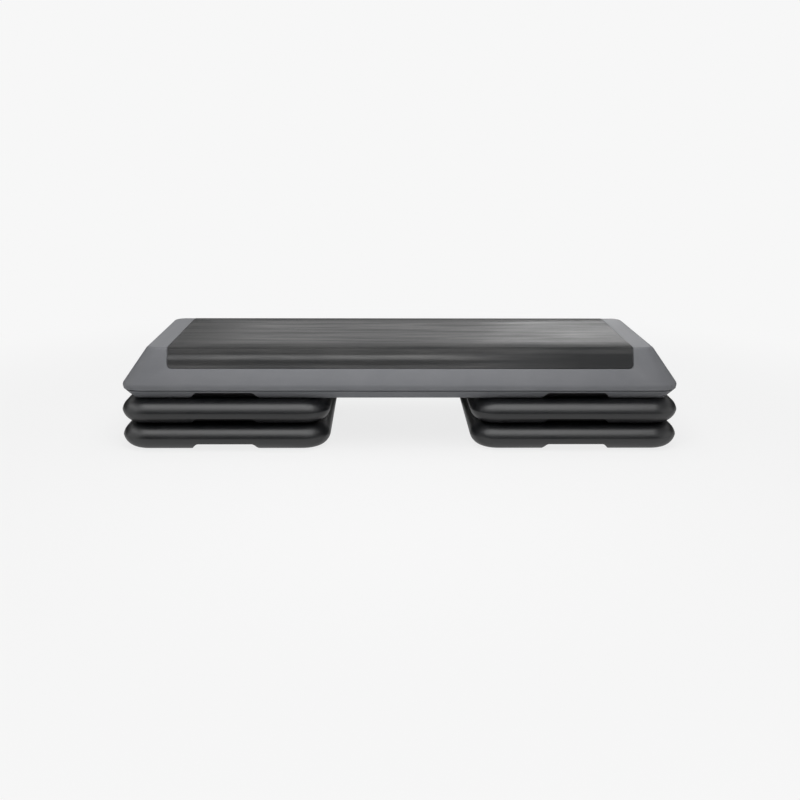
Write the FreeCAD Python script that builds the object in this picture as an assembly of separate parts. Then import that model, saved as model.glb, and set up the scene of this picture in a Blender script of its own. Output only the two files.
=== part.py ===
"""Aerobic step platform: a hollow deck with a ribbed mat, standing on two stacks of hollow square risers.

Millimetres, +Z up, X along the deck. The origin is on the floor under the middle of the deck.
Each riser and the deck are blow-moulded shells: an outer skin, an underside skin with a square socket,
conical tack-off wells that join the two skins, and an empty space between them. The plug on top of a
riser fits the socket of the piece above, and push-in rubber feet carry the weight from piece to piece.
"""
import FreeCAD, Part
import math
import os

V = FreeCAD.Vector
ORIGIN = V(0, 0, 0)
UP = V(0, 0, 1)

# Deck
deck_length = 1092.2
deck_width = 406.4
deck_height = 101.6
deck_wall = 3.0
lip_height = 29.5
lip_corner_radius = 40.0
lip_edge_radius = 8.0
lip_tuck = 3.8
parting_drop = 8.9
parting_step = 1.6
end_slope_run = 50.6
side_slope_run = 26.7
plateau_corner_radius = 22.0
plateau_edge_radius = 7.0
base_run = 26.5
base_bulge = 1.0
cross_rib_width = 40.0

# Tread mat
mat_end_margin = 42.5
mat_wrap = 41.0
mat_thickness = 3.2
mat_recess = 2.4
mat_gap = 1.5
mat_corner_radius = 8.0
rib_pitch = 4.0
groove_depth = 1.0
groove_mouth = 1.8
groove_floor = 0.9

# Risers
riser_pitch = 50.8
riser_wall = 2.5
side_overhang = 2.8
end_overhang = 4.9
bulge_radius = 30.0
riser_corner_radius = 56.0
ledge_width = 16.5
plug_height = 18.0
plug_draft = 8.0
plug_corner_radius = 30.0
plug_chamfer = 5.2
socket_clearance = 1.5
socket_headroom = 1.5

# Finger notches
notch_width = 134.0
notch_roof = 112.0
notch_height = 13.2
notch_radius = 4.0

# Tack-off wells
well_mouth_radius = 34.0
well_tip_radius = 18.0
tack_skin = 4.5

# Push-in feet
foot_radius = 8.0
foot_proud = 1.2
foot_sink = 2.5
foot_edge = 0.8
foot_play = 0.1
stem_radius = 2.5
barb_radius = 3.6
barb_height = 4.0

# Sizes that follow from the ones above
deck_base = 2 * riser_pitch
deck_rim = deck_base + foot_proud
deck_top = deck_base + deck_height
lip_z = deck_base + lip_height
parting_z = lip_z - parting_drop
lip_half_x = deck_length / 2
lip_half_y = deck_width / 2
plateau_half_x = lip_half_x - end_slope_run
plateau_half_y = lip_half_y - side_slope_run
mat_length = 2 * (plateau_half_x - mat_end_margin)
slope_drop = deck_top - lip_z
slope_length = math.hypot(side_slope_run, slope_drop)
nosing_turn = math.atan2(slope_drop, side_slope_run)
nosing_tangent = plateau_edge_radius * math.tan(nosing_turn / 2)
nosing_start = plateau_half_y - nosing_tangent
nosing_end = nosing_start + plateau_edge_radius * nosing_turn
riser_half = lip_half_y + side_overhang
stack_x = lip_half_x + end_overhang - riser_half
riser_parting = (foot_proud + riser_pitch) / 2
bulge_height = riser_pitch - riser_parting
bulge_run = math.sqrt(bulge_height * (2 * bulge_radius - bulge_height))
ledge_half = riser_half - bulge_run
plug_half = ledge_half - ledge_width
socket_half = plug_half + socket_clearance
socket_depth = plug_height + socket_headroom
pocket_half_x = stack_x - socket_half - cross_rib_width
overlap = 1.0
tolerance = 0.01


def joined(solids):
    """One solid from solids that touch or overlap."""
    return solids[0].multiFuse(solids[1:]).removeSplitter().Solids[0]


def wire_through(points):
    """Closed wire through (a, b) points in the XZ plane; (a, b, middle) ends an arc through middle."""
    edges = []
    for start, end in zip(points, points[1:] + points[:1]):
        first = V(start[0], 0, start[1])
        last = V(end[0], 0, end[1])
        if len(end) == 3:
            edges.append(Part.Arc(first, V(end[2][0], 0, end[2][1]), last).toShape())
        else:
            edges.append(Part.makeLine(first, last))
    return Part.Wire(edges)


def arc_middle(start, end, bulge):
    """Middle point of an arc that stands off its chord by bulge, to the right of start to end."""
    length = math.hypot(end[0] - start[0], end[1] - start[1])
    across = (end[1] - start[1]) / length, (start[0] - end[0]) / length
    return (start[0] + end[0]) / 2 + across[0] * bulge, (start[1] + end[1]) / 2 + across[1] * bulge


def ring_block(half_x, half_y, corner_radius, profile):
    """Rounded rectangular block; its sides stand inside the widest outline by profile's (inset, z)."""
    outer = []
    for point in profile:
        placed = (corner_radius - point[0], point[1])
        if len(point) == 3:
            placed += ((corner_radius - point[2][0], point[2][1]),)
        outer.append(placed)
    low = profile[0][1]
    high = profile[-1][1]
    section = Part.Face(wire_through([(0, low)] + outer + [(0, high)]))
    x = half_x - corner_radius
    y = half_y - corner_radius
    solids = [Part.makeBox(2 * x, 2 * y, high - low, V(-x, -y, low))]
    corners = [V(x, y, 0), V(-x, y, 0), V(-x, -y, 0), V(x, -y, 0)]
    for quarter, corner in enumerate(corners):
        face = section.rotated(ORIGIN, UP, 90 * quarter).translated(corner)
        solids.append(face.revolve(corner, UP, 90))
        solids.append(face.extrude(corners[quarter - 1] - corner))
    return joined(solids)


def rounded_outline(half_x, half_y, radius, z):
    """Rounded rectangle in plan, as a closed wire."""
    edges = []
    signs = [(1, 1), (-1, 1), (-1, -1), (1, -1)]
    last = None
    first = None
    for quarter, (sx, sy) in enumerate(signs):
        centre = V(sx * (half_x - radius), sy * (half_y - radius), z)
        turns = [math.radians(90 * quarter + step) for step in (0, 45, 90)]
        arc = [centre + V(radius * math.cos(turn), radius * math.sin(turn), 0) for turn in turns]
        if last:
            edges.append(Part.makeLine(last, arc[0]))
        else:
            first = arc[0]
        edges.append(Part.Arc(*arc).toShape())
        last = arc[2]
    edges.append(Part.makeLine(last, first))
    return Part.Wire(edges)


def tapered_plug(half_x, half_y, corner_radius, low, high):
    """Block with drafted sides and a chamfered top edge; half_x and half_y are its size at z = low."""
    draft = math.radians(plug_draft)
    lean = (high - low) * math.tan(draft)
    side_end = (lean - plug_chamfer * math.sin(draft), high - plug_chamfer * math.cos(draft))
    return ring_block(half_x, half_y, corner_radius, [(0, low), side_end, (lean + plug_chamfer, high)])


def socket_space(half_x, half_y, base, grow):
    """Space of a socket that opens at z = base, or with grow, that space with its skin around it."""
    return tapered_plug(half_x + grow, half_y + grow, plug_corner_radius + grow, base,
                        base + socket_depth + grow)


def notch_bar(along, centre, rim, grow):
    """Bar with a notch's section, from centre outwards along a direction, and skin around it by grow."""
    flare = (notch_width - notch_roof) / 2
    below = foot_proud
    foot_half = notch_width / 2 + flare * below / notch_height + grow
    roof = notch_roof / 2 + grow
    high = notch_height + grow
    outline = wire_through([(-foot_half, -below), (foot_half, -below), (roof, high), (-roof, high)])
    bar = Part.Face(outline).extrude(V(0, riser_half, 0))
    upper = [edge for edge in bar.Edges if min(vertex.Z for vertex in edge.Vertexes) > high - overlap
             and edge.Length > riser_half - tolerance]
    bar = bar.makeFillet(notch_radius, upper)
    heading = math.degrees(math.atan2(-along.x, along.y))
    socket_lean = (below + notch_height) * math.tan(math.radians(plug_draft))
    start = centre + along * (socket_half - socket_lean - overlap)
    return bar.rotated(ORIGIN, UP, heading).translated(start + V(0, 0, rim))


def wells(centre, half_x, low, high, grow):
    """Four conical wells at the quarter points of a recess, from its ceiling up to the skin above."""
    spots = [V(sx * half_x / 2, sy * socket_half / 2, low) for sx in (-1, 1) for sy in (-1, 1)]
    return [Part.makeCone(well_mouth_radius + grow, well_tip_radius + grow, high - low, centre + spot)
            for spot in spots]


def foot_spots():
    """Middle of the ledge on each diagonal, as (x, y) from a stack's axis."""
    diagonal = math.sqrt(0.5)
    outer_radius = riser_corner_radius - bulge_run
    outer = ledge_half - outer_radius * (1 - diagonal)
    inner = socket_half - (plug_corner_radius + socket_clearance) * (1 - diagonal)
    middle = (outer + inner) / 2
    return {("front", "outer"): (middle, -middle), ("front", "inner"): (-middle, -middle),
            ("back", "outer"): (middle, middle), ("back", "inner"): (-middle, middle)}


def foot(wall):
    """Push-in foot standing on z = 0: a disc, a stem through a wall of that thickness and a barb."""
    disc_top = foot_proud + foot_sink
    barb_low = disc_top + wall + foot_play
    ease = foot_edge * (1 - math.sqrt(0.5))
    outline = [(0, 0), (foot_radius - foot_edge, 0), (foot_radius, foot_edge, (foot_radius - ease, ease)),
               (foot_radius, disc_top), (stem_radius, disc_top), (stem_radius, barb_low),
               (barb_radius, barb_low), (stem_radius, barb_low + barb_height), (0, barb_low + barb_height)]
    return Part.Face(wire_through(outline)).revolve(ORIGIN, UP, 360).Solids[0]


def foot_seat(rim, wall):
    """Recess and stem hole for a foot, as one solid to cut from the rim above it."""
    recess = Part.makeCylinder(foot_radius + foot_play, foot_sink + overlap, V(0, 0, rim - overlap))
    hole = Part.makeCylinder(stem_radius + foot_play, foot_sink + wall + overlap, V(0, 0, rim))
    return joined([recess, hole])


def foot_boss(rim, wall):
    """Skin around a foot's recess, as one solid that the empty space leaves out."""
    return Part.makeCylinder(foot_radius + foot_play + wall, foot_sink + wall, V(0, 0, rim))


def riser_shape():
    """One riser standing on its feet at z = 0, on the stack's axis."""
    rim = foot_proud
    top = riser_pitch + plug_height
    half_turn = math.acos(1 - bulge_height / bulge_radius) / 2

    def bulged(skin):
        """Pillow-edged block, inside the outer surface by skin."""
        radius = bulge_radius - skin
        edge_run = bulge_run - math.sqrt(radius ** 2 - (bulge_radius - bulge_height) ** 2)
        drop = radius * (1 - math.cos(half_turn))
        run = bulge_run - radius * math.sin(half_turn)
        low = rim + skin
        high = riser_pitch - skin
        return ring_block(riser_half, riser_half, riser_corner_radius,
                          [(bulge_run, low), (edge_run, riser_parting, (run, low + drop)),
                           (bulge_run, high, (run, high - drop))])

    def plug(skin):
        """Plug on top, inside its surface by skin."""
        return tapered_plug(plug_half - skin, plug_half - skin, plug_corner_radius - skin,
                            riser_pitch - skin - overlap, top - skin)

    sides = [V(1, 0, 0), V(0, 1, 0), V(-1, 0, 0), V(0, -1, 0)]
    ceiling = socket_depth
    empty = joined([bulged(riser_wall), plug(riser_wall)])
    kept = [socket_space(socket_half, socket_half, 0, riser_wall)]
    kept += wells(ORIGIN, socket_half, ceiling, top, riser_wall)
    kept += [notch_bar(side, ORIGIN, rim, riser_wall) for side in sides]
    cut = [socket_space(socket_half, socket_half, 0, 0)]
    cut += wells(ORIGIN, socket_half, ceiling - overlap, top - tack_skin, 0)
    cut += [notch_bar(side, ORIGIN, rim, 0) for side in sides]
    for x, y in foot_spots().values():
        kept.append(foot_boss(rim, riser_wall).translated(V(x, y, 0)))
        cut.append(foot_seat(rim, riser_wall).translated(V(x, y, 0)))
    body = joined([bulged(0), plug(0)])
    return body.cut(empty.cut(kept)).cut(cut).Solids[0]


def slope_point(distance, offset, x=0.0):
    """Point down the front slope from the plateau's sharp edge, offset outwards from the deck."""
    down = V(0, -side_slope_run / slope_length, -slope_drop / slope_length)
    out = V(0, -slope_drop / slope_length, side_slope_run / slope_length)
    return V(x, -plateau_half_y, deck_top) + down * distance + out * offset


def tread_point(distance, offset):
    """Point along the tread's front half, from its middle over the nosing, offset outwards."""
    if distance <= nosing_start:
        return V(0, -distance, deck_top + offset)
    if distance >= nosing_end:
        return slope_point(distance - nosing_end + nosing_tangent, offset)
    turn = (distance - nosing_start) / plateau_edge_radius
    radius = plateau_edge_radius + offset
    centre = V(0, -nosing_start, deck_top - plateau_edge_radius)
    return centre + V(0, -radius * math.sin(turn), radius * math.cos(turn))


def tread_length(wrap):
    """Distance along the tread from its middle to a point on the slope, wrap below the sharp edge."""
    return nosing_end - nosing_tangent + wrap


def tread_edge(start, end, offset):
    """Edge along the tread between two distances: straight on a flat, round over the nosing."""
    first = tread_point(start, offset)
    last = tread_point(end, offset)
    middle = tread_point((start + end) / 2, offset)
    if start > nosing_start - tolerance and end < nosing_end + tolerance:
        return Part.Arc(first, middle, last).toShape()
    return Part.makeLine(first, last)


def tread_run(start, end, offset):
    """Edges along the tread between two distances, broken where the surface changes."""
    breaks = [stop for stop in (nosing_start, nosing_end) if start + tolerance < stop < end - tolerance]
    stops = [start] + breaks + [end]
    return [tread_edge(first, last, offset) for first, last in zip(stops, stops[1:])]


def tread_slab(outer_edges, outer_offset, inner_offset, wrap, length):
    """Slab over the whole tread: its front half from the outer edges, mirrored, and extruded along X."""
    end = tread_length(wrap)
    middle_low = tread_point(0, inner_offset)
    middle_high = tread_point(0, outer_offset)
    end_low = tread_point(end, inner_offset)
    end_high = tread_point(end, outer_offset)
    edges = outer_edges + [Part.makeLine(end_high, end_low)] + tread_run(0, end, inner_offset)
    edges.append(Part.makeLine(middle_low, middle_high))
    half = Part.Face(Part.Wire(Part.__sortEdges__(edges)))
    front = half.extrude(V(length, 0, 0)).translated(V(-length / 2, 0, 0))
    return joined([front, front.mirror(ORIGIN, V(0, 1, 0))])


def corner_wedges(length, wrap, radius):
    """Four wedges that round the lower corners of a tread slab."""
    thick = 4 * mat_thickness
    x = length / 2
    inner = x - radius
    outer = x + overlap
    corners = [slope_point(wrap - radius, -thick, inner), slope_point(wrap - radius, -thick, outer),
               slope_point(wrap + overlap, -thick, outer), slope_point(wrap + overlap, -thick, inner)]
    out = slope_point(0, 1) - slope_point(0, 0)
    block = Part.Face(Part.makePolygon(corners + corners[:1])).extrude(out * 2 * thick)
    wedge = block.cut(Part.makeCylinder(radius, 2 * thick, corners[0], out))
    pair = [wedge, wedge.mirror(ORIGIN, V(1, 0, 0))]
    return pair + [side.mirror(ORIGIN, V(0, 1, 0)) for side in pair]


def mat_shape():
    """Rubber mat in the deck's recess, over the plateau and down both long slopes, with lengthwise ribs."""
    proud = mat_thickness - mat_recess
    end = tread_length(mat_wrap)
    edges = []
    place = 0.0
    groove = rib_pitch / 2
    while groove + rib_pitch / 2 < end:
        walls = [tread_point(groove - groove_mouth / 2, proud),
                 tread_point(groove - groove_floor / 2, proud - groove_depth),
                 tread_point(groove + groove_floor / 2, proud - groove_depth),
                 tread_point(groove + groove_mouth / 2, proud)]
        edges += tread_run(place, groove - groove_mouth / 2, proud)
        edges += [Part.makeLine(first, last) for first, last in zip(walls, walls[1:])]
        place = groove + groove_mouth / 2
        groove += rib_pitch
    edges += tread_run(place, end, proud)
    slab = tread_slab(edges, proud, -mat_recess, mat_wrap, mat_length)
    return slab.cut(corner_wedges(mat_length, mat_wrap, mat_corner_radius)).Solids[0]


def mat_seat():
    """Recess that the mat lies in, a gap wider all round and open above."""
    above = 2 * mat_thickness
    wrap = mat_wrap + mat_gap
    length = mat_length + 2 * mat_gap
    slab = tread_slab(tread_run(0, tread_length(wrap), above), above, -mat_recess, wrap, length)
    return slab.cut(corner_wedges(length, wrap, mat_corner_radius + mat_gap)).Solids[0]


def deck_body():
    """Deck without its hollows: a flared upper half that overhangs a tapered lower half."""
    parting_x = lip_half_x - lip_tuck
    parting_y = lip_half_y - lip_tuck
    upper = Part.makeLoft([
        rounded_outline(parting_x, parting_y, lip_corner_radius - lip_tuck, parting_z),
        rounded_outline(lip_half_x, lip_half_y, lip_corner_radius, lip_z),
        rounded_outline(plateau_half_x, plateau_half_y, plateau_corner_radius, deck_top)], True, True)
    for height, radius in ((deck_top, plateau_edge_radius), (lip_z, lip_edge_radius)):
        ring = [edge for edge in upper.Edges
                if all(abs(vertex.Z - height) < tolerance for vertex in edge.Vertexes)]
        upper = upper.makeFillet(radius, ring)
    inset = lip_tuck + parting_step
    rim_end = (base_run - inset, deck_rim)
    parting_end = (0, parting_z)
    middle = arc_middle(rim_end, parting_end, -base_bulge)
    lower = ring_block(lip_half_x - inset, lip_half_y - inset, lip_corner_radius - inset,
                       [rim_end, parting_end + (middle,)])
    return joined([upper, lower])


def deck_space():
    """Empty space between the deck's skins, before the sockets and wells are left out of it."""
    skin = deck_wall + mat_recess
    ceiling = deck_top - skin

    def inside(z):
        """Half sizes of the space at a height on the slopes, a skin inside them."""
        share = (deck_top - z) / slope_drop
        end_slope_length = math.hypot(end_slope_run, slope_drop)
        x = plateau_half_x + end_slope_run * share - skin * end_slope_length / slope_drop
        y = plateau_half_y + side_slope_run * share - skin * slope_length / slope_drop
        return x, y

    lip_x, lip_y = inside(lip_z)
    top_x, top_y = inside(ceiling)
    base_inset = base_run + deck_wall
    return Part.makeLoft([
        rounded_outline(lip_half_x - base_inset, lip_half_y - base_inset, lip_corner_radius - base_run,
                        deck_rim + deck_wall),
        rounded_outline(lip_x, lip_y, lip_corner_radius - skin, lip_z),
        rounded_outline(top_x, top_y, plateau_corner_radius - skin, ceiling)], True, True)


def deck_shape():
    """Hollow deck with a socket over each stack, a pocket between them, wells, notches and foot seats."""
    stacks = [V(-stack_x, 0, 0), V(stack_x, 0, 0)]
    ceiling = deck_base + socket_depth
    skin_top = deck_top - mat_recess
    kept = [socket_space(pocket_half_x, socket_half, deck_base, deck_wall)]
    kept += wells(ORIGIN, pocket_half_x, ceiling, skin_top, deck_wall)
    cut = [socket_space(pocket_half_x, socket_half, deck_base, 0), mat_seat()]
    cut += wells(ORIGIN, pocket_half_x, ceiling - overlap, skin_top - tack_skin, 0)
    for stack in stacks:
        sides = [V(0, 1, 0), V(0, -1, 0), V(math.copysign(1, stack.x), 0, 0)]
        kept.append(socket_space(socket_half, socket_half, deck_base, deck_wall).translated(stack))
        kept += wells(stack, socket_half, ceiling, skin_top, deck_wall)
        kept += [notch_bar(side, stack, deck_rim, deck_wall) for side in sides]
        cut.append(socket_space(socket_half, socket_half, deck_base, 0).translated(stack))
        cut += wells(stack, socket_half, ceiling - overlap, skin_top - tack_skin, 0)
        cut += [notch_bar(side, stack, deck_rim, 0) for side in sides]
        for x, y in foot_spots().values():
            kept.append(foot_boss(deck_rim, deck_wall).translated(stack + V(x, y, 0)))
            cut.append(foot_seat(deck_rim, deck_wall).translated(stack + V(x, y, 0)))
    return deck_body().cut(deck_space().cut(kept)).cut(cut).Solids[0]


def feet(prefix, shape, stack, base):
    """Four feet round a stack's axis, each under its own name."""
    mirrored = math.copysign(1, stack)
    return {f"{prefix}_foot_{depth}_{side}": shape.translated(V(stack + mirrored * x, y, base))
            for (depth, side), (x, y) in foot_spots().items()}


def parts():
    """Every piece by name, in its place."""
    pieces = {"deck_shell": deck_shape(), "tread_mat": mat_shape()}
    riser = riser_shape()
    riser_foot = foot(riser_wall)
    deck_foot = foot(deck_wall)
    for side, stack in (("left", -stack_x), ("right", stack_x)):
        for level, base in (("lower", 0), ("upper", riser_pitch)):
            name = f"riser_{side}_{level}"
            pieces[name] = riser.translated(V(stack, 0, base))
            pieces.update(feet(name, riser_foot, stack, base))
        pieces.update(feet(f"deck_{side}", deck_foot, stack, deck_base))
    return pieces


os.makedirs("parts", exist_ok=True)
for name, shape in parts().items():
    shape.exportStep(f"parts/{name}.step")
    print(f"{name}: {shape.Volume / 1000:.1f} cm3, valid {shape.isValid()}, solids {len(shape.Solids)}")
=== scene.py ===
"""Looks of an aerobic step platform: a moulded deck, a ribbed mat, two stacks of risers and their feet.

Metres, +Z up, X along the deck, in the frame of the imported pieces. Each piece is modelled once where it
stands nearest the origin, and copies are moved to their places in the mesh.
"""
import math

import bmesh
import bpy
from mathutils import Matrix, Vector


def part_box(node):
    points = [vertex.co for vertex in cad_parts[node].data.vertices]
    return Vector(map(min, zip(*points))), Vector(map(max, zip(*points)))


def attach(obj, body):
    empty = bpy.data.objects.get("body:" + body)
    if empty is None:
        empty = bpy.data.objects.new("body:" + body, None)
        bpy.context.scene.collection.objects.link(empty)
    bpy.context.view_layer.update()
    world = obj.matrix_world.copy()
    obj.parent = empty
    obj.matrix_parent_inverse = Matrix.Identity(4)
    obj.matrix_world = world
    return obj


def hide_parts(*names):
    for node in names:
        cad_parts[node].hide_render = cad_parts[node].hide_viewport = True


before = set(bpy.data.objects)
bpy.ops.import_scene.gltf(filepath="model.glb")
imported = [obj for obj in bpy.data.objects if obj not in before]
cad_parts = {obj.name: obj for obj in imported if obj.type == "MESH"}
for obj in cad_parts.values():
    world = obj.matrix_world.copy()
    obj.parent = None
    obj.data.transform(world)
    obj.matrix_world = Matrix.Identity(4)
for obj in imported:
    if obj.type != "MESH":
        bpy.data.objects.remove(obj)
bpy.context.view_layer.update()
MM = 0.001

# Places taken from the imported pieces
riser_low, riser_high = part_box("riser_right_lower")
upper_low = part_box("riser_right_upper")[0]
deck_low, deck_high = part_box("deck_shell")
foot_low, foot_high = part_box("riser_right_lower_foot_front_outer")
mat_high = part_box("tread_mat")[1]
riser_half = (riser_high.x - riser_low.x) / 2
stack_x = (riser_high.x + riser_low.x) / 2
riser_pitch = upper_low.z - riser_low.z
foot_proud = riser_low.z
deck_base = 2 * riser_pitch
deck_rim = deck_low.z
deck_top = deck_high.z
foot_radius = (foot_high.x - foot_low.x) / 2
foot_reach = (foot_high.x + foot_low.x) / 2 - stack_x
mat_half_x = mat_high.x
mat_proud = mat_high.z - deck_top

# Deck
lip_half_x = 546.1 * MM
lip_half_y = 203.2 * MM
lip_z = deck_base + 29.5 * MM
lip_corner = 40.0 * MM
lip_round = 3.6 * MM
lip_tuck = 2.0 * MM
parting_z = lip_z - 8.9 * MM
parting_step = 3.4 * MM
groove_height = 2.2 * MM
groove_back = 2.5 * MM
end_slope_run = 50.6 * MM
side_slope_run = 26.7 * MM
plateau_corner = 22.0 * MM
plateau_round = 7.0 * MM
base_run = 26.5 * MM
base_bulge = 1.0 * MM
cross_rib = 40.0 * MM
plateau_half_x = lip_half_x - end_slope_run
plateau_half_y = lip_half_y - side_slope_run

# Tread mat
mat_wrap = 41.0 * MM
mat_thickness = 3.2 * MM
mat_recess = mat_thickness - mat_proud
mat_gap = 1.5 * MM
mat_corner = 8.0 * MM
rib_pitch = 4.0 * MM
groove_mouth = 1.8 * MM
groove_floor = 0.9 * MM
groove_depth = 1.0 * MM
edge_sag = 0.6 * MM
edge_sag_run = 30.0 * MM
drape_wave = 0.85 * MM
drape_crest = 23.5 * MM
drape_period = 24.0 * MM
drape_fade = 240.0 * MM

# Risers
bulge_radius = 30.0 * MM
riser_corner = 56.0 * MM
riser_parting = (foot_proud + riser_pitch) / 2
flash_height = 0.5 * MM
ledge_width = 16.5 * MM
plug_height = 18.0 * MM
plug_draft = math.radians(8)
plug_corner = 30.0 * MM
plug_chamfer = 5.2 * MM
socket_clearance = 1.5 * MM
socket_depth = plug_height + 1.5 * MM
bulge_height = riser_pitch - riser_parting
bulge_turn = math.acos(1 - bulge_height / bulge_radius)
bulge_run = bulge_radius * math.sin(bulge_turn)
plug_half = riser_half - bulge_run - ledge_width
socket_half = plug_half + socket_clearance
pocket_half_x = stack_x - socket_half - cross_rib

# Finger notches, wells and feet
notch_width = 134.0 * MM
notch_roof = 112.0 * MM
notch_height = 13.2 * MM
notch_round = 4.0 * MM
notch_reach = 12.0 * MM
well_mouth = 34.0 * MM
well_tip = 18.0 * MM
well_skin = 4.5 * MM
foot_sink = 2.5 * MM
foot_edge = 0.8 * MM
foot_play = 0.1 * MM
foot_lands = (1.2 * MM, 1.4 * MM)
foot_ring_width = 0.7 * MM
foot_ring_flare = 0.3 * MM
foot_ring_depth = 0.35 * MM
stem_radius = 2.5 * MM
barb_radius = 3.6 * MM
barb_height = 4.0 * MM
deck_wall = 3.0 * MM
riser_wall = 2.5 * MM

# Fineness of the meshes
corner_steps = 16
bulge_steps = 14
round_steps = 5
nosing_steps = 8
lip_steps = 6
ease_steps = 3
well_sides = 48
foot_sides = 40
mat_columns = 31
edge_ease = 1.2 * MM
recess_ease = 0.7 * MM
overlap = 1.0 * MM
sharp_angle = math.radians(32)
tolerance = 1e-6


# Modelling by hand

def put_down():
    """Leave edit mode, with nothing selected."""
    if bpy.context.object and bpy.context.object.mode != "OBJECT":
        bpy.ops.object.mode_set(mode="OBJECT")
    bpy.ops.object.select_all(action="DESELECT")


def take(piece):
    """Select one piece and make it the active one."""
    put_down()
    piece.select_set(True)
    bpy.context.view_layer.objects.active = piece


def open_mesh(piece):
    """Take a piece into edit mode with all of its mesh selected."""
    take(piece)
    bpy.ops.object.mode_set(mode="EDIT")
    bpy.ops.mesh.select_all(action="SELECT")


def pick(piece, kind, wanted):
    """In edit mode, select only the vertices, edges or faces that wanted() accepts."""
    bpy.ops.mesh.select_mode(type=kind)
    bpy.ops.mesh.select_all(action="DESELECT")
    mesh = bmesh.from_edit_mesh(piece.data)
    elements = {"VERT": mesh.verts, "EDGE": mesh.edges, "FACE": mesh.faces}[kind]
    for element in elements:
        if wanted(element):
            element.select_set(True)
    mesh.select_flush_mode()
    bmesh.update_edit_mesh(piece.data)


def level(element, z):
    """Whether every vertex of an edge or face is at height z."""
    return all(abs(vertex.co.z - z) < tolerance for vertex in element.verts)


def move(x=0.0, y=0.0, z=0.0):
    """In edit mode, move what is selected."""
    bpy.ops.transform.translate(value=(x, y, z))


def extrude(x=0.0, y=0.0, z=0.0):
    """In edit mode, extrude what is selected and move the new part."""
    bpy.ops.mesh.extrude_region_move(TRANSFORM_OT_translate={"value": (x, y, z)})


def apply_modifier(piece, kind, **settings):
    """Add a modifier with these settings and apply it."""
    take(piece)
    step = piece.modifiers.new(kind.lower(), kind)
    for name, value in settings.items():
        setattr(step, name, value)
    bpy.ops.object.modifier_apply(modifier=step.name)


def carve(piece, cutters, operation="DIFFERENCE"):
    """Cut the cutters out of a piece, or join them to it, and remove them."""
    for cutter in cutters:
        apply_modifier(piece, "BOOLEAN", operation=operation, object=cutter, solver="EXACT")
        bpy.data.objects.remove(cutter)


def ease_edges(piece, width, where):
    """Round the sharp edges of a piece whose middle point where() accepts."""
    open_mesh(piece)
    pick(piece, "EDGE", lambda edge: len(edge.link_faces) == 2 and edge.calc_face_angle() > sharp_angle
         and where((edge.verts[0].co + edge.verts[1].co) / 2))
    bpy.ops.mesh.bevel(offset=width, segments=ease_steps, profile=0.5, clamp_overlap=True)
    put_down()


def smooth(piece):
    """Shade a piece smooth, apart from its sharp edges."""
    take(piece)
    bpy.ops.object.shade_smooth_by_angle(angle=sharp_angle)


def copy_to(piece, name, place):
    """A copy with its own mesh, moved to its place in the mesh."""
    take(piece)
    bpy.ops.object.duplicate(linked=False)
    copy = bpy.context.object
    copy.name = name
    copy.location = place
    bpy.ops.object.transform_apply(location=True, rotation=True, scale=True)
    return copy


def shifted(piece, x=0.0, y=0.0, z=0.0, turn=0.0):
    """Turn a piece about Z and move it, in its mesh."""
    take(piece)
    piece.rotation_euler = (0, 0, turn)
    piece.location = (x, y, z)
    bpy.ops.object.transform_apply(location=True, rotation=True, scale=True)
    return piece


def rounded_plate(name, half_x, half_y, corner, z):
    """A flat plate with round corners, left in edit mode with its face selected."""
    put_down()
    bpy.ops.mesh.primitive_plane_add(size=2)
    plate = bpy.context.object
    plate.name = name
    open_mesh(plate)
    bpy.ops.transform.resize(value=(half_x, half_y, 1))
    move(z=z)
    bpy.ops.mesh.bevel(offset=corner, affect="VERTICES", segments=corner_steps, profile=0.5)
    pick(plate, "FACE", lambda face: True)
    return plate


def drafted_block(name, half_x, half_y, corner, mouth, height):
    """A plug or the space of a socket: drafted sides from the mouth up, and a chamfered top edge."""
    below = 6 * MM
    lean = height * math.tan(plug_draft)
    block = rounded_plate(name, half_x, half_y, corner, mouth - below)
    extrude(z=below)
    bpy.ops.mesh.inset(thickness=lean, depth=height)
    pick(block, "EDGE", lambda edge: level(edge, mouth + height))
    bpy.ops.mesh.bevel(offset=plug_chamfer, segments=1)
    bpy.ops.mesh.select_all(action="SELECT")
    bpy.ops.mesh.normals_make_consistent(inside=False)
    put_down()
    return block


def notch_block(name, centre, turn, rim):
    """The space of a finger notch, from inside the socket outwards past the rim."""
    below = 3 * MM
    inner = socket_half - notch_reach
    outer = riser_half + notch_reach
    flare = (notch_width - notch_roof) / 2
    foot_half = notch_width / 2 + flare * below / notch_height
    put_down()
    bpy.ops.mesh.primitive_cube_add(size=1)
    block = bpy.context.object
    block.name = name
    open_mesh(block)
    bpy.ops.transform.resize(value=(2 * foot_half, outer - inner, notch_height + below))
    move(y=-(outer + inner) / 2, z=(notch_height - below) / 2)
    pick(block, "FACE", lambda face: face.normal.z > 0.9)
    bpy.ops.transform.resize(value=(notch_roof / 2 / foot_half, 1, 1))
    pick(block, "EDGE", lambda edge: level(edge, notch_height)
         and abs(edge.verts[0].co.y - edge.verts[1].co.y) > overlap)
    bpy.ops.mesh.bevel(offset=notch_round, segments=round_steps, profile=0.5)
    put_down()
    return shifted(block, centre.x, centre.y, rim, turn)


def well_blocks(name, centre, half_x, ceiling, skin_top):
    """Spaces of the four conical wells in a socket's ceiling."""
    low = ceiling - overlap
    high = skin_top - well_skin
    blocks = []
    for side_x in (-1, 1):
        for side_y in (-1, 1):
            put_down()
            bpy.ops.mesh.primitive_cone_add(vertices=well_sides, radius1=well_mouth, radius2=well_tip,
                                            depth=high - low)
            block = bpy.context.object
            block.name = name
            x = centre.x + side_x * half_x / 2
            y = centre.y + side_y * socket_half / 2
            blocks.append(shifted(block, x, y, (low + high) / 2))
    return blocks


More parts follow.
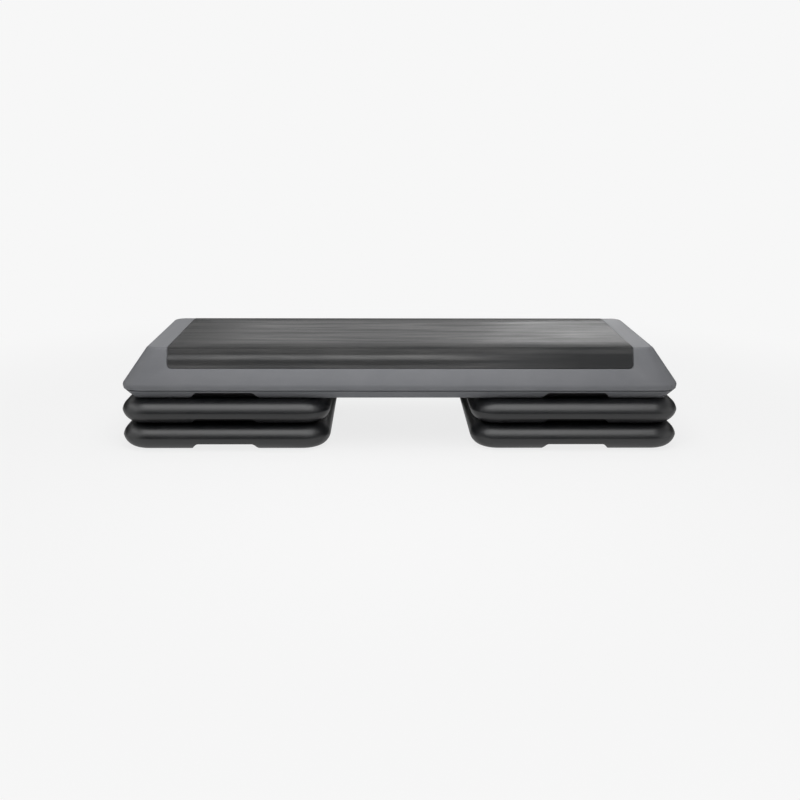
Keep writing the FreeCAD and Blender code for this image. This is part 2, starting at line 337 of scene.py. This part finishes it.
def foot_recess_blocks(name, centre, rim):
    """Spaces of the four round recesses that hold feet."""
    blocks = []
    for side_x in (-1, 1):
        for side_y in (-1, 1):
            put_down()
            bpy.ops.mesh.primitive_cylinder_add(vertices=foot_sides, radius=foot_radius + foot_play,
                                                depth=foot_sink + overlap)
            block = bpy.context.object
            block.name = name
            x = centre.x + side_x * foot_reach
            y = centre.y + side_y * foot_reach
            blocks.append(shifted(block, x, y, rim + (foot_sink - overlap) / 2))
    return blocks


# Risers

def round_flank():
    """Inset the selected face step by step along the riser's round flank."""
    places = []
    for step in range(bulge_steps + 1):
        turn = bulge_turn * (1 - step / bulge_steps)
        places.append((bulge_run - bulge_radius * math.sin(turn),
                       bulge_height - bulge_radius * (1 - math.cos(turn))))
    rise_share = (bulge_height - flash_height / 2) / bulge_height
    for start, end in zip(places, places[1:]):
        bpy.ops.mesh.inset(thickness=end[0] - start[0], depth=(end[1] - start[1]) * rise_share)


def riser():
    """One riser on the stack's axis: pillow edges, a plug above, a socket, wells and notches below."""
    body = rounded_plate("riser", riser_half, riser_half, riser_corner, riser_parting - flash_height / 2)
    extrude(z=flash_height)
    round_flank()
    bpy.ops.mesh.select_all(action="SELECT")
    bpy.ops.mesh.normals_make_consistent(inside=False)
    pick(body, "FACE", lambda face: face.normal.z < -0.99)
    round_flank()
    put_down()
    axis = Vector((0, 0, 0))
    plug = drafted_block("plug", plug_half, plug_half, plug_corner, riser_pitch, plug_height)
    carve(body, [plug], "UNION")
    cutters = [drafted_block("socket", socket_half, socket_half, plug_corner, 0, socket_depth)]
    cutters += well_blocks("well", axis, socket_half, socket_depth, riser_pitch + plug_height)
    cutters += [notch_block("notch", axis, quarter * math.pi / 2, foot_proud) for quarter in range(4)]
    carve(body, cutters)
    ease_edges(body, edge_ease, lambda place: True)
    carve(body, foot_recess_blocks("recess", axis, foot_proud))
    smooth(body)
    return body


# Feet

def foot(wall):
    """Push-in foot standing on z = 0: a grooved disc, a stem and a barb."""
    disc_top = foot_proud + foot_sink
    barb_low = disc_top + wall + foot_play
    put_down()
    bpy.ops.mesh.primitive_cylinder_add(vertices=foot_sides, radius=foot_radius, depth=disc_top,
                                        location=(0, 0, disc_top / 2))
    pad = bpy.context.object
    pad.name = "foot"
    bpy.ops.object.transform_apply(location=True)
    open_mesh(pad)
    pick(pad, "EDGE", lambda edge: level(edge, 0))
    bpy.ops.mesh.bevel(offset=foot_edge, segments=ease_steps, profile=0.5)
    pick(pad, "FACE", lambda face: face.normal.z < -0.99)
    for land in foot_lands:
        bpy.ops.mesh.inset(thickness=land)
        bpy.ops.mesh.inset(thickness=foot_ring_flare, depth=-foot_ring_depth)
        bpy.ops.mesh.inset(thickness=foot_ring_width)
        bpy.ops.mesh.inset(thickness=foot_ring_flare, depth=foot_ring_depth)
    pick(pad, "FACE", lambda face: face.normal.z > 0.99)
    bpy.ops.mesh.inset(thickness=foot_radius - stem_radius)
    extrude(z=barb_low - disc_top)
    extrude()
    bpy.ops.transform.resize(value=(barb_radius / stem_radius,) * 2 + (1,))
    extrude(z=barb_height)
    bpy.ops.transform.resize(value=(stem_radius / barb_radius,) * 2 + (1,))
    bpy.ops.mesh.select_all(action="SELECT")
    bpy.ops.mesh.normals_make_consistent(inside=False)
    smooth(pad)
    return pad


# Tread mat and its recess

slope_drop = deck_top - lip_z
slope_length = math.hypot(side_slope_run, slope_drop)
slope_down = Vector((0, -side_slope_run, -slope_drop)) / slope_length
slope_out = Vector((0, -slope_drop, side_slope_run)) / slope_length
nosing_turn = math.atan2(slope_drop, side_slope_run)
nosing_tangent = plateau_round * math.tan(nosing_turn / 2)
nosing_start = plateau_half_y - nosing_tangent
nosing_end = nosing_start + plateau_round * nosing_turn


def tread_point(distance, offset):
    """Point on the tread's front half, a distance from its middle line, offset outwards."""
    if distance <= nosing_start:
        return Vector((0, -distance, deck_top + offset))
    if distance >= nosing_end:
        down = distance - nosing_end + nosing_tangent
        return Vector((0, -plateau_half_y, deck_top)) + slope_down * down + slope_out * offset
    turn = (distance - nosing_start) / plateau_round
    radius = plateau_round + offset
    return Vector((0, -nosing_start - radius * math.sin(turn),
                   deck_top - plateau_round + radius * math.cos(turn)))


def tread_distance(point):
    """How far along the tread, from its middle line, a point on or near its surface lies."""
    y = -abs(point.y)
    out = Vector((0, y + nosing_start, point.z - deck_top + plateau_round))
    turn = math.atan2(-out.y, out.z)
    if turn <= 0:
        return -y
    if turn >= nosing_turn:
        corner = Vector((0, y + plateau_half_y, point.z - deck_top))
        return nosing_end - nosing_tangent + corner.dot(slope_down)
    return nosing_start + plateau_round * turn


def tread_sheet(name, stops, offset, half_x, corner, columns):
    """Sheet over the whole tread: an edge drawn along the tread through the stops, then mirrored."""
    end = stops[-1]

    def half_width(distance):
        """Half of the sheet's width at a distance, narrower in its round corners."""
        into = max(0.0, distance - end + corner)
        return half_x - corner + math.sqrt(max(0.0, corner ** 2 - into ** 2))

    put_down()
    bpy.ops.mesh.primitive_plane_add(size=2)
    sheet = bpy.context.object
    sheet.name = name
    open_mesh(sheet)
    bpy.ops.transform.resize(value=(half_x, stops[1] / 2, 1))
    move(y=-stops[1] / 2, z=deck_top + offset)
    pick(sheet, "EDGE", lambda edge: edge.verts[0].co.y == edge.verts[1].co.y)
    bpy.ops.mesh.subdivide(number_cuts=columns)
    front = -stops[1]
    pick(sheet, "EDGE", lambda edge: all(abs(vertex.co.y - front) < tolerance for vertex in edge.verts))
    for start, stop in zip(stops[1:], stops[2:]):
        step = tread_point(stop, offset) - tread_point(start, offset)
        extrude(*step)
        bpy.ops.transform.resize(value=(half_width(stop) / half_width(start), 1, 1))
    put_down()
    apply_modifier(sheet, "MIRROR", use_axis=(False, True, False), use_clip=True)
    open_mesh(sheet)
    bpy.ops.mesh.normals_make_consistent(inside=False)
    put_down()
    return sheet


def mat_recess_block():
    """The space that the mat's recess takes out of the deck."""
    end = nosing_end - nosing_tangent + mat_wrap + mat_gap
    corner = mat_corner + mat_gap
    stops = [0, nosing_start / 2, nosing_start]
    stops += [nosing_start + (nosing_end - nosing_start) * step / nosing_steps
              for step in range(1, nosing_steps + 1)]
    stops += [nosing_end + (end - corner - nosing_end) / 2]
    stops += [end - corner + corner * math.sin(step * math.pi / corner_steps)
              for step in range(corner_steps // 2 + 1)]
    block = tread_sheet("mat_space", stops, -mat_recess, mat_half_x + mat_gap, corner, 1)
    apply_modifier(block, "SOLIDIFY", thickness=4 * mat_thickness, offset=1, use_even_offset=True)
    return block


def settle_drape(mat):
    """Let the wrapped sides of the mat lie in a soft wave, fading towards the right end."""
    for vertex in mat.data.vertices:
        down = tread_distance(vertex.co) - nosing_end
        near = min(1.0, 1 + (down + nosing_end - nosing_start) / edge_sag_run)
        if near > 0:
            vertex.co.z -= edge_sag * near ** 2
        if down > 0:
            fade = min(1.0, down / drape_period * 2)
            share = min(1.0, max(0.0, 1 - vertex.co.x / drape_fade))
            from_crest = (down + nosing_tangent - drape_crest) / drape_period
            wave = math.cos(2 * math.pi * max(-0.5, min(0.5, from_crest)))
            out = Vector((0, math.copysign(slope_out.y, vertex.co.y), slope_out.z))
            vertex.co += out * drape_wave * (wave - 1) * fade * share


def tread_mat():
    """Rubber mat with lengthwise ribs, wrapped over both long edges of the deck."""
    end = nosing_end - nosing_tangent + mat_wrap
    stops = [0]
    groove = rib_pitch / 2
    while groove + rib_pitch / 2 < end:
        stops += [groove - groove_mouth / 2, groove + groove_mouth / 2]
        groove += rib_pitch
    stops.append(end)
    mat = tread_sheet("tread_rubber", stops, mat_proud, mat_half_x, mat_corner, mat_columns)
    settle_drape(mat)
    apply_modifier(mat, "SOLIDIFY", thickness=mat_thickness, offset=-1, use_even_offset=True)
    open_mesh(mat)

    def in_groove(face):
        """Whether a face on the mat's outside lies between two ribs."""
        place = face.calc_center_median()
        along = tread_distance(place)
        from_groove = abs((along / rib_pitch) % 1 - 0.5) * rib_pitch
        outside = face.normal.z * slope_out.z - face.normal.y * math.copysign(slope_out.y, -place.y) > 0.2
        return outside and from_groove < groove_mouth / 4 and face.normal.x ** 2 < 0.1

    pick(mat, "FACE", in_groove)
    bpy.ops.mesh.inset(thickness=(groove_mouth - groove_floor) / 2, depth=-groove_depth)
    put_down()
    smooth(mat)
    return mat


# Deck

def deck_body():
    """The deck's outside: flared sides down to a round lip, and a groove and a puffed band under it."""
    lip = rounded_plate("deck", lip_half_x, lip_half_y, lip_corner, lip_z)
    put_down()
    plateau = rounded_plate("plateau", plateau_half_x, plateau_half_y, plateau_corner, deck_top)
    put_down()
    take(lip)
    plateau.select_set(True)
    bpy.ops.object.join()
    body = lip
    open_mesh(body)
    bpy.ops.mesh.delete(type="ONLY_FACE")
    bpy.ops.mesh.select_mode(type="EDGE")
    bpy.ops.mesh.select_all(action="SELECT")
    bpy.ops.mesh.bridge_edge_loops()
    for height in (deck_top, lip_z):
        pick(body, "EDGE", lambda edge: level(edge, height))
        bpy.ops.mesh.edge_face_add()
    bpy.ops.mesh.select_all(action="SELECT")
    bpy.ops.mesh.normals_make_consistent(inside=False)
    pick(body, "FACE", lambda face: level(face, lip_z))
    bpy.ops.mesh.inset(thickness=lip_tuck, depth=lip_z - parting_z)
    bpy.ops.mesh.inset(thickness=parting_step + groove_back)
    extrude(z=-groove_height)
    back_x = lip_half_x - lip_tuck - parting_step - groove_back
    back_y = lip_half_y - lip_tuck - parting_step - groove_back
    extrude()
    bpy.ops.transform.resize(value=(1 + groove_back / back_x, 1 + groove_back / back_y, 1))
    band_run = base_run - lip_tuck - parting_step
    band_drop = parting_z - groove_height - deck_rim
    band_length = math.hypot(band_run, band_drop)
    places = []
    for step in range(bulge_steps + 1):
        share = step / bulge_steps
        puff = base_bulge * 4 * share * (1 - share)
        places.append((band_run * share - puff * band_drop / band_length,
                       band_drop * share + puff * band_run / band_length))
    for start, stop in zip(places, places[1:]):
        bpy.ops.mesh.inset(thickness=stop[0] - start[0], depth=stop[1] - start[1])
    pick(body, "EDGE", lambda edge: level(edge, deck_top))
    bpy.ops.mesh.bevel(offset=nosing_tangent, segments=nosing_steps, profile=0.5)
    pick(body, "EDGE", lambda edge: level(edge, lip_z))
    bpy.ops.mesh.bevel(offset=lip_round, segments=lip_steps, profile=0.5)
    put_down()
    return body


def deck():
    """The deck's moulding: its outside with sockets, pocket, wells, notches and recesses cut in."""
    body = deck_body()
    ceiling = deck_base + socket_depth
    skin_top = deck_top - mat_recess
    middle = Vector((0, 0, 0))
    cutters = [drafted_block("pocket", pocket_half_x, socket_half, plug_corner, deck_base, socket_depth)]
    cutters += well_blocks("well", middle, pocket_half_x, ceiling, skin_top)
    recesses = []
    for side in (-1, 1):
        stack = Vector((side * stack_x, 0, 0))
        socket = drafted_block("socket", socket_half, socket_half, plug_corner, deck_base, socket_depth)
        cutters.append(shifted(socket, stack.x))
        cutters += well_blocks("well", stack, socket_half, ceiling, skin_top)
        turns = (0, side * math.pi / 2, math.pi)
        cutters += [notch_block("notch", stack, turn, deck_rim) for turn in turns]
        recesses += foot_recess_blocks("recess", stack, deck_rim)
    carve(body, cutters)
    below_parting = parting_z - 4 * MM
    ease_edges(body, edge_ease, lambda place: place.z < below_parting or abs(place.y) < socket_half)
    carve(body, recesses + [mat_recess_block()])
    ease_edges(body, recess_ease, lambda place: place.z > lip_z)
    smooth(body)
    return body


# Finishes

def finish_nodes(name):
    """A new material with its nodes, its links and its shader."""
    material = bpy.data.materials.new(name)
    material.use_nodes = True
    nodes = material.node_tree.nodes
    return material, nodes, material.node_tree.links, nodes["Principled BSDF"]


def moulded_skin_group():
    """Fine moulded grain as a height, and a slow mottle as a mask."""
    group = bpy.data.node_groups.new("moulded_skin", "ShaderNodeTree")
    socket = group.interface.new_socket
    socket("Vector", in_out="INPUT", socket_type="NodeSocketVector")
    socket("Grain Scale", in_out="INPUT", socket_type="NodeSocketFloat")
    socket("Mottle Scale", in_out="INPUT", socket_type="NodeSocketFloat")
    socket("Grain", in_out="OUTPUT", socket_type="NodeSocketFloat")
    socket("Mottle", in_out="OUTPUT", socket_type="NodeSocketFloat")
    nodes = group.nodes
    link = group.links.new
    inside = nodes.new("NodeGroupInput")
    outside = nodes.new("NodeGroupOutput")
    grain = nodes.new("ShaderNodeTexNoise")
    grain.inputs["Detail"].default_value = 3.0
    mottle = nodes.new("ShaderNodeTexNoise")
    mottle.inputs["Detail"].default_value = 4.0
    link(inside.outputs["Vector"], grain.inputs["Vector"])
    link(inside.outputs["Grain Scale"], grain.inputs["Scale"])
    link(inside.outputs["Vector"], mottle.inputs["Vector"])
    link(inside.outputs["Mottle Scale"], mottle.inputs["Scale"])
    link(grain.outputs["Fac"], outside.inputs["Grain"])
    link(mottle.outputs["Fac"], outside.inputs["Mottle"])
    return group


def streak_group():
    """Long rubbed streaks along X as a mask."""
    group = bpy.data.node_groups.new("rubbed_streaks", "ShaderNodeTree")
    socket = group.interface.new_socket
    socket("Vector", in_out="INPUT", socket_type="NodeSocketVector")
    socket("Length", in_out="INPUT", socket_type="NodeSocketFloat")
    socket("Width", in_out="INPUT", socket_type="NodeSocketFloat")
    socket("Streaks", in_out="OUTPUT", socket_type="NodeSocketFloat")
    nodes = group.nodes
    link = group.links.new
    inside = nodes.new("NodeGroupInput")
    outside = nodes.new("NodeGroupOutput")
    apart = nodes.new("ShaderNodeSeparateXYZ")
    together = nodes.new("ShaderNodeCombineXYZ")
    noise = nodes.new("ShaderNodeTexNoise")
    noise.inputs["Scale"].default_value = 1.0
    noise.inputs["Detail"].default_value = 5.0
    noise.inputs["Roughness"].default_value = 0.6
    link(inside.outputs["Vector"], apart.inputs["Vector"])
    for part, size in (("X", "Length"), ("Y", "Width"), ("Z", "Width")):
        divide = nodes.new("ShaderNodeMath")
        divide.operation = "DIVIDE"
        link(apart.outputs[part], divide.inputs[0])
        link(inside.outputs[size], divide.inputs[1])
        link(divide.outputs["Value"], together.inputs[part])
    link(together.outputs["Vector"], noise.inputs["Vector"])
    link(noise.outputs["Fac"], outside.inputs["Streaks"])
    return group


def ranged(nodes, links, value, low, high, to_low, to_high):
    """Map a value from one range to another and return the socket that holds it."""
    node = nodes.new("ShaderNodeMapRange")
    node.inputs["From Min"].default_value = low
    node.inputs["From Max"].default_value = high
    node.inputs["To Min"].default_value = to_low
    node.inputs["To Max"].default_value = to_high
    links.new(value, node.inputs["Value"])
    return node.outputs["Result"]


def between(nodes, links, mask, low, high):
    """Mix two colours, or sockets that hold colours, by a mask; the mixed colour's socket."""
    mix = nodes.new("ShaderNodeMix")
    mix.data_type = "RGBA"
    links.new(mask, mix.inputs["Factor"])
    for socket, colour in ((mix.inputs["A"], low), (mix.inputs["B"], high)):
        if isinstance(colour, tuple):
            socket.default_value = colour + (1,)
        else:
            links.new(colour, socket)
    return mix.outputs["Result"]


def calculated(nodes, links, operation, *values):
    """A Math node on one or two sockets; the result's socket."""
    node = nodes.new("ShaderNodeMath")
    node.operation = operation
    for value, socket in zip(values, node.inputs):
        links.new(value, socket)
    return node.outputs["Value"]


def raised(nodes, links, height, distance, strength, under=None):
    """A Bump node for a height, over another normal if there is one; the normal's socket."""
    bump = nodes.new("ShaderNodeBump")
    bump.inputs["Distance"].default_value = distance
    bump.inputs["Strength"].default_value = strength
    links.new(height, bump.inputs["Height"])
    if under:
        links.new(under, bump.inputs["Normal"])
    return bump.outputs["Normal"]


def patterned(nodes, links, group, place, sizes):
    """A pattern group at a place, with its sizes set; its outputs."""
    node = nodes.new("ShaderNodeGroup")
    node.node_tree = group
    links.new(place, node.inputs["Vector"])
    for name, value in sizes.items():
        node.inputs[name].default_value = value
    return node.outputs


moulded_skin = moulded_skin_group()
rubbed_streaks = streak_group()


def moulded_plastic(name, dark, light, rough_low, rough_high, specular):
    """Blow-moulded polyethylene: fine grain, a slow mottle, faint rubbed marks and a satin face."""
    material, nodes, links, shader = finish_nodes(name)
    place = nodes.new("ShaderNodeTexCoord").outputs["Object"]
    skin = patterned(nodes, links, moulded_skin, place, {"Grain Scale": 900, "Mottle Scale": 14})
    marks = patterned(nodes, links, rubbed_streaks, place, {"Length": 0.09, "Width": 0.008})["Streaks"]
    mottle = ranged(nodes, links, skin["Mottle"], 0.3, 0.7, 0, 0.65)
    rubbed = ranged(nodes, links, marks, 0.55, 0.8, 0, 0.35)
    mask = calculated(nodes, links, "ADD", mottle, rubbed)
    links.new(between(nodes, links, mask, dark, light), shader.inputs["Base Color"])
    links.new(ranged(nodes, links, mask, 0, 1, rough_low, rough_high), shader.inputs["Roughness"])
    links.new(raised(nodes, links, skin["Grain"], 0.15 * MM, 0.5), shader.inputs["Normal"])
    shader.inputs["Specular IOR Level"].default_value = specular
    return material


# Where the mat is dull: distances from its left end, its middle, its long edges and the deck's top. The
# right half of its front face also gets painted shade.
dull_left = (20 * MM, 200 * MM)
dull_shaded_right = (50 * MM, 350 * MM)
dull_edge = 70 * MM
side_below = (13 * MM, 6 * MM)


def mat_rubber():
    """Black rubber, rubbed in streaks along its ribs, and dull where it is least trodden on; the right
    half of its front face has painted shade.
    """
    material, nodes, links, shader = finish_nodes("black_rubber")
    place = nodes.new("ShaderNodeTexCoord").outputs["Object"]
    skin = patterned(nodes, links, moulded_skin, place, {"Grain Scale": 1400, "Mottle Scale": 9})
    streaks = patterned(nodes, links, rubbed_streaks, place, {"Length": 0.2, "Width": 0.014})["Streaks"]
    rubbed = ranged(nodes, links, streaks, 0.36, 0.66, 0, 1)
    apart = nodes.new("ShaderNodeSeparateXYZ")
    links.new(place, apart.inputs["Vector"])
    across = calculated(nodes, links, "ABSOLUTE", apart.outputs["Y"])
    left_fade = [distance - mat_half_x for distance in dull_left]
    top_fade = [deck_top - distance for distance in side_below]
    left_end = ranged(nodes, links, apart.outputs["X"], *left_fade, 0.8, 0)
    right_half = ranged(nodes, links, apart.outputs["X"], *dull_shaded_right, 0, 1)
    long_edge = ranged(nodes, links, across, nosing_start - dull_edge, nosing_start, 0, 1)
    on_top = ranged(nodes, links, apart.outputs["Z"], *top_fade, 0, 1)
    on_side = ranged(nodes, links, apart.outputs["Z"], *top_fade, 1, 0)
    top_ends = calculated(nodes, links, "MAXIMUM", left_end, long_edge)
    dull_top = calculated(nodes, links, "MULTIPLY", top_ends, on_top)
    dull_shaded_side = calculated(nodes, links, "MULTIPLY", right_half, on_side)
    dull = ranged(nodes, links, calculated(nodes, links, "MAXIMUM", dull_top, dull_shaded_side), 0, 1, 0.3, 0.7)
    satin = ranged(nodes, links, rubbed, 0, 1, 0.48, 0.34)
    links.new(calculated(nodes, links, "MAXIMUM", dull, satin), shader.inputs["Roughness"])
    # Painted shade: over the right half of the front face the colour is darker, its light streaks cut to
    # 15 percent
    unshaded_share = ranged(nodes, links, dull_shaded_side, 0, 1, 1, 0.15)
    streaks_under_painted_shade = calculated(nodes, links, "MULTIPLY", rubbed, unshaded_share)
    links.new(between(nodes, links, streaks_under_painted_shade, (0.010, 0.0105, 0.0115), (0.038, 0.0375, 0.037)),
              shader.inputs["Base Color"])
    waves = raised(nodes, links, streaks, 1.0 * MM, 0.5)
    links.new(raised(nodes, links, skin["Grain"], 0.1 * MM, 0.5, waves), shader.inputs["Normal"])
    links.new(ranged(nodes, links, dull_shaded_side, 0, 1, 0.62, 0.4), shader.inputs["Specular IOR Level"])
    return material


def foot_rubber():
    """Matt rubber of the feet, with floor dust on it."""
    material, nodes, links, shader = finish_nodes("matt_rubber")
    place = nodes.new("ShaderNodeTexCoord").outputs["Object"]
    skin = patterned(nodes, links, moulded_skin, place, {"Grain Scale": 1600, "Mottle Scale": 180})
    dust = ranged(nodes, links, skin["Mottle"], 0.4, 0.7, 0, 1)
    links.new(between(nodes, links, dust, (0.04, 0.04, 0.042), (0.09, 0.088, 0.085)),
              shader.inputs["Base Color"])
    links.new(ranged(nodes, links, dust, 0, 1, 0.75, 0.9), shader.inputs["Roughness"])
    links.new(raised(nodes, links, skin["Grain"], 0.1 * MM, 0.5), shader.inputs["Normal"])
    shader.inputs["Specular IOR Level"].default_value = 0.35
    return material


deck_finish = moulded_plastic("grey_polyethylene", (0.158, 0.162, 0.173), (0.188, 0.191, 0.201),
                              0.5, 0.6, 0.25)
riser_finish = moulded_plastic("black_polyethylene", (0.005, 0.0055, 0.0065), (0.009, 0.0095, 0.0105),
                               0.34, 0.42, 0.68)
mat_finish = mat_rubber()
foot_finish = foot_rubber()


def dress(piece, material, body, node):
    """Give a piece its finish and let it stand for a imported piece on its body."""
    piece.data.materials.clear()
    piece.data.materials.append(material)
    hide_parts(node)
    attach(piece, body)


def place_feet(model, prefix, centre_x, base, body):
    """Four feet round a stack's axis."""
    outwards = math.copysign(1, centre_x)
    for depth, side_y in (("front", -1), ("back", 1)):
        for end, side_x in (("outer", 1), ("inner", -1)):
            node = f"{prefix}_foot_{depth}_{end}"
            place = (centre_x + outwards * side_x * foot_reach, side_y * foot_reach, base)
            dress(copy_to(model, node + "_pad", place), foot_finish, body, node)


riser_model = riser()
riser_foot = foot(riser_wall)
deck_foot = foot(deck_wall)
for side, centre_x in (("left", -stack_x), ("right", stack_x)):
    for height, (rung, body) in enumerate((("lower", "base"), ("upper", f"upper_{side}"))):
        node = f"riser_{side}_{rung}"
        base = height * riser_pitch
        shell = copy_to(riser_model, node + "_shell", (centre_x, 0, base))
        dress(shell, riser_finish, body, node)
        place_feet(riser_foot, node, centre_x, base, body)
    place_feet(deck_foot, f"deck_{side}", centre_x, deck_base, "deck")
for model in (riser_model, riser_foot, deck_foot):
    bpy.data.objects.remove(model)
dress(deck(), deck_finish, "deck", "deck_shell")
dress(tread_mat(), mat_finish, "deck", "tread_mat")


# Camera at the photograph's place
camera_place = Vector((-33.97, -2402.98, 625.06)) * MM
camera_yaw = 0.01474
camera_pitch = 0.23244
camera_roll = 0.00331
focal_pixels = 1162.4
image_pixels = 800
sensor = 36.0


def set_camera():
    """A camera at the place, turn and focal length that were fitted to the photograph."""
    ahead = Vector((math.sin(camera_yaw) * math.cos(camera_pitch),
                    math.cos(camera_yaw) * math.cos(camera_pitch), -math.sin(camera_pitch)))
    right = Vector((math.cos(camera_yaw), -math.sin(camera_yaw), 0))
    up = right.cross(ahead)
    tilted_right = right * math.cos(camera_roll) + up * math.sin(camera_roll)
    tilted_up = up * math.cos(camera_roll) - right * math.sin(camera_roll)
    lens = bpy.data.cameras.new("camera")
    lens.sensor_width = sensor
    lens.lens = focal_pixels * sensor / image_pixels
    lens.clip_end = 100
    camera = bpy.data.objects.new("camera", lens)
    bpy.context.scene.collection.objects.link(camera)
    turned = Matrix((tilted_right, tilted_up, -ahead)).transposed().to_4x4()
    camera.matrix_world = Matrix.Translation(camera_place) @ turned
    bpy.context.scene.camera = camera


# Pale floor and soft studio light
backdrop = 0.93
overhead = 0.2
dimming_heights = (0.3, 0.75)
floor_colour = 0.86
# Painted reflection: the greys the floor glows with in reflections, away from the object and in bands
# along its front and back, and the reach of those bands
painted_floor_reflection = 0.55
painted_near_reflection = 0.86
near_reach = (0.22, 0.55)
near_edge = 20 * MM
floor_size = 60
card_colour = 0.02
floor_glow = 0.86
shadow_reach = (0.75, 1.6)


def set_world():
    """Surroundings that are pale low down and dim overhead; the camera sees the pale backdrop alone."""
    world = bpy.data.worlds.new("studio")
    world.use_nodes = True
    bpy.context.scene.world = world
    nodes = world.node_tree.nodes
    links = world.node_tree.links
    apart = nodes.new("ShaderNodeSeparateXYZ")
    links.new(nodes.new("ShaderNodeTexCoord").outputs["Generated"], apart.inputs["Vector"])
    low = ranged(nodes, links, apart.outputs["Z"], *dimming_heights, 1, 0)
    around = between(nodes, links, low, (overhead,) * 3, (backdrop,) * 3)
    seen = nodes.new("ShaderNodeLightPath").outputs["Is Camera Ray"]
    shade = between(nodes, links, seen, around, (backdrop,) * 3)
    links.new(shade, nodes["Background"].inputs["Color"])


def mixed(nodes, links, share, first, second):
    """Mix two shaders by a socket; the mixed shader's socket."""
    mix = nodes.new("ShaderNodeMixShader")
    for source, socket in zip((share, first, second), mix.inputs):
        links.new(source, socket)
    return mix.outputs["Shader"]


def glowing(nodes, links, grey):
    """A glow of a grey, or of a socket that holds one; its shader's socket."""
    glow = nodes.new("ShaderNodeEmission")
    if isinstance(grey, float):
        glow.inputs["Color"].default_value = (grey, grey, grey, 1)
    else:
        links.new(grey, glow.inputs["Color"])
    return glow.outputs["Emission"]


def set_floor():
    """A pale floor with the object's shadow and clear from below; in reflections it is a painted
    reflection, a fixed glow that is lightest in bands along the object.
    """
    put_down()
    bpy.ops.mesh.primitive_plane_add(size=floor_size)
    floor = bpy.context.object
    floor.name = "floor"
    material, nodes, links, shader = finish_nodes("floor")
    shader.inputs["Base Color"].default_value = (floor_colour, floor_colour, floor_colour, 1)
    shader.inputs["Roughness"].default_value = 1.0
    shader.inputs["Specular IOR Level"].default_value = 0.0
    place = nodes.new("ShaderNodeTexCoord").outputs["Object"]
    far = nodes.new("ShaderNodeVectorMath")
    far.operation = "LENGTH"
    links.new(place, far.inputs[0])
    away = ranged(nodes, links, far.outputs["Value"], *shadow_reach, floor_glow, 1)
    away.node.interpolation_type = "SMOOTHSTEP"
    apart = nodes.new("ShaderNodeSeparateXYZ")
    links.new(place, apart.inputs["Vector"])
    across = calculated(nodes, links, "ABSOLUTE", apart.outputs["Y"])
    outside = ranged(nodes, links, across, riser_half - near_edge, riser_half, 0, 1)
    beside = ranged(nodes, links, across, *near_reach, 1, 0)
    along = calculated(nodes, links, "MULTIPLY", outside, beside)
    # Painted reflection: glossy rays see the floor as a fixed, unshadowed glow, brighter in bands in
    # front of and behind the risers
    painted_reflection = ranged(nodes, links, along, 0, 1, painted_floor_reflection, painted_near_reflection)
    rays = nodes.new("ShaderNodeLightPath").outputs
    seen = calculated(nodes, links, "MULTIPLY", away, rays["Is Camera Ray"])
    surface = mixed(nodes, links, seen, shader.outputs["BSDF"], glowing(nodes, links, backdrop))
    surface = mixed(nodes, links, rays["Is Glossy Ray"], surface, glowing(nodes, links, painted_reflection))
    below = nodes.new("ShaderNodeNewGeometry").outputs["Backfacing"]
    clear = nodes.new("ShaderNodeBsdfTransparent").outputs["BSDF"]
    surface = mixed(nodes, links, below, surface, clear)
    links.new(surface, nodes["Material Output"].inputs["Surface"])
    floor.data.materials.append(material)


def softbox(name, place, aim, size_x, size_y, power):
    """A rectangular studio light aimed at a point."""
    lamp = bpy.data.lights.new(name, "AREA")
    lamp.shape = "RECTANGLE"
    lamp.size = size_x
    lamp.size_y = size_y
    lamp.energy = power
    holder = bpy.data.objects.new(name, lamp)
    bpy.context.scene.collection.objects.link(holder)
    holder.location = place
    holder.visible_camera = False
    holder.rotation_euler = (Vector(aim) - Vector(place)).to_track_quat("-Z", "Y").to_euler()
    return holder


def flag(name, place, aim, size_x, size_y):
    """A dark card that keeps reflections off the object; the camera doesn't see it."""
    put_down()
    bpy.ops.mesh.primitive_plane_add(size=1, location=place)
    card = bpy.context.object
    card.name = name
    card.scale = (size_x, size_y, 1)
    card.rotation_euler = (Vector(aim) - Vector(place)).to_track_quat("Z", "Y").to_euler()
    card.visible_camera = False
    material, _, _, shader = finish_nodes(name)
    shader.inputs["Base Color"].default_value = (card_colour, card_colour, card_colour, 1)
    shader.inputs["Roughness"].default_value = 1.0
    card.data.materials.append(material)
    return card


set_camera()
set_world()
set_floor()

# Lights with place, aim, width, height and power, and cards with place, aim, width and height
softbox("front_light", (-0.03, -0.82, 1.25), (0, -0.2, 0.12), 0.8, 1.1, 11.5).visible_glossy = False
softbox("front_panel", (-0.08, -0.82, 1.25), (0, -0.2, 0.12), 2.3, 1.1, 21).visible_diffuse = False
softbox("top_light", (0, 0.3, 2.2), (0, 0, 0.2), 2.5, 1.5, 12.5).visible_glossy = False
softbox("back_light", (0.88, 2.8, 0.75), (0.3, 0, 0.2), 0.8, 0.8, 5)
softbox("left_panel", (-0.97, -0.3, 0.42), (-0.53, -0.19, 0.08), 0.6, 0.2, 0.55).visible_diffuse = False
flag("front_flag", (0, -3.4, 0.8), (0, 0, 0.8), 7.0, 1.6)
# Painted shade in reflections: these cards are seen only by glossy rays, cast no shadow and light
# nothing, and darken what the risers' sides and corners reflect
for card in (flag("gap_flag", (0, 0.26, 0.055), (0, 1, 0.055), 0.28, 0.11),
             flag("middle_flag", (0, -0.33, 0.09), (1, -0.33, 0.09), 0.26, 0.08),
             flag("left_flag", (-1.5, 0.9, 0.35), (-0.5, 0, 0.35), 1.6, 0.7),
             flag("right_flag", (1.5, 0.9, 0.35), (0.5, 0, 0.35), 1.6, 0.7)):
    card.visible_shadow = False
    card.visible_diffuse = False

bpy.context.scene.view_settings.view_transform = "Standard"
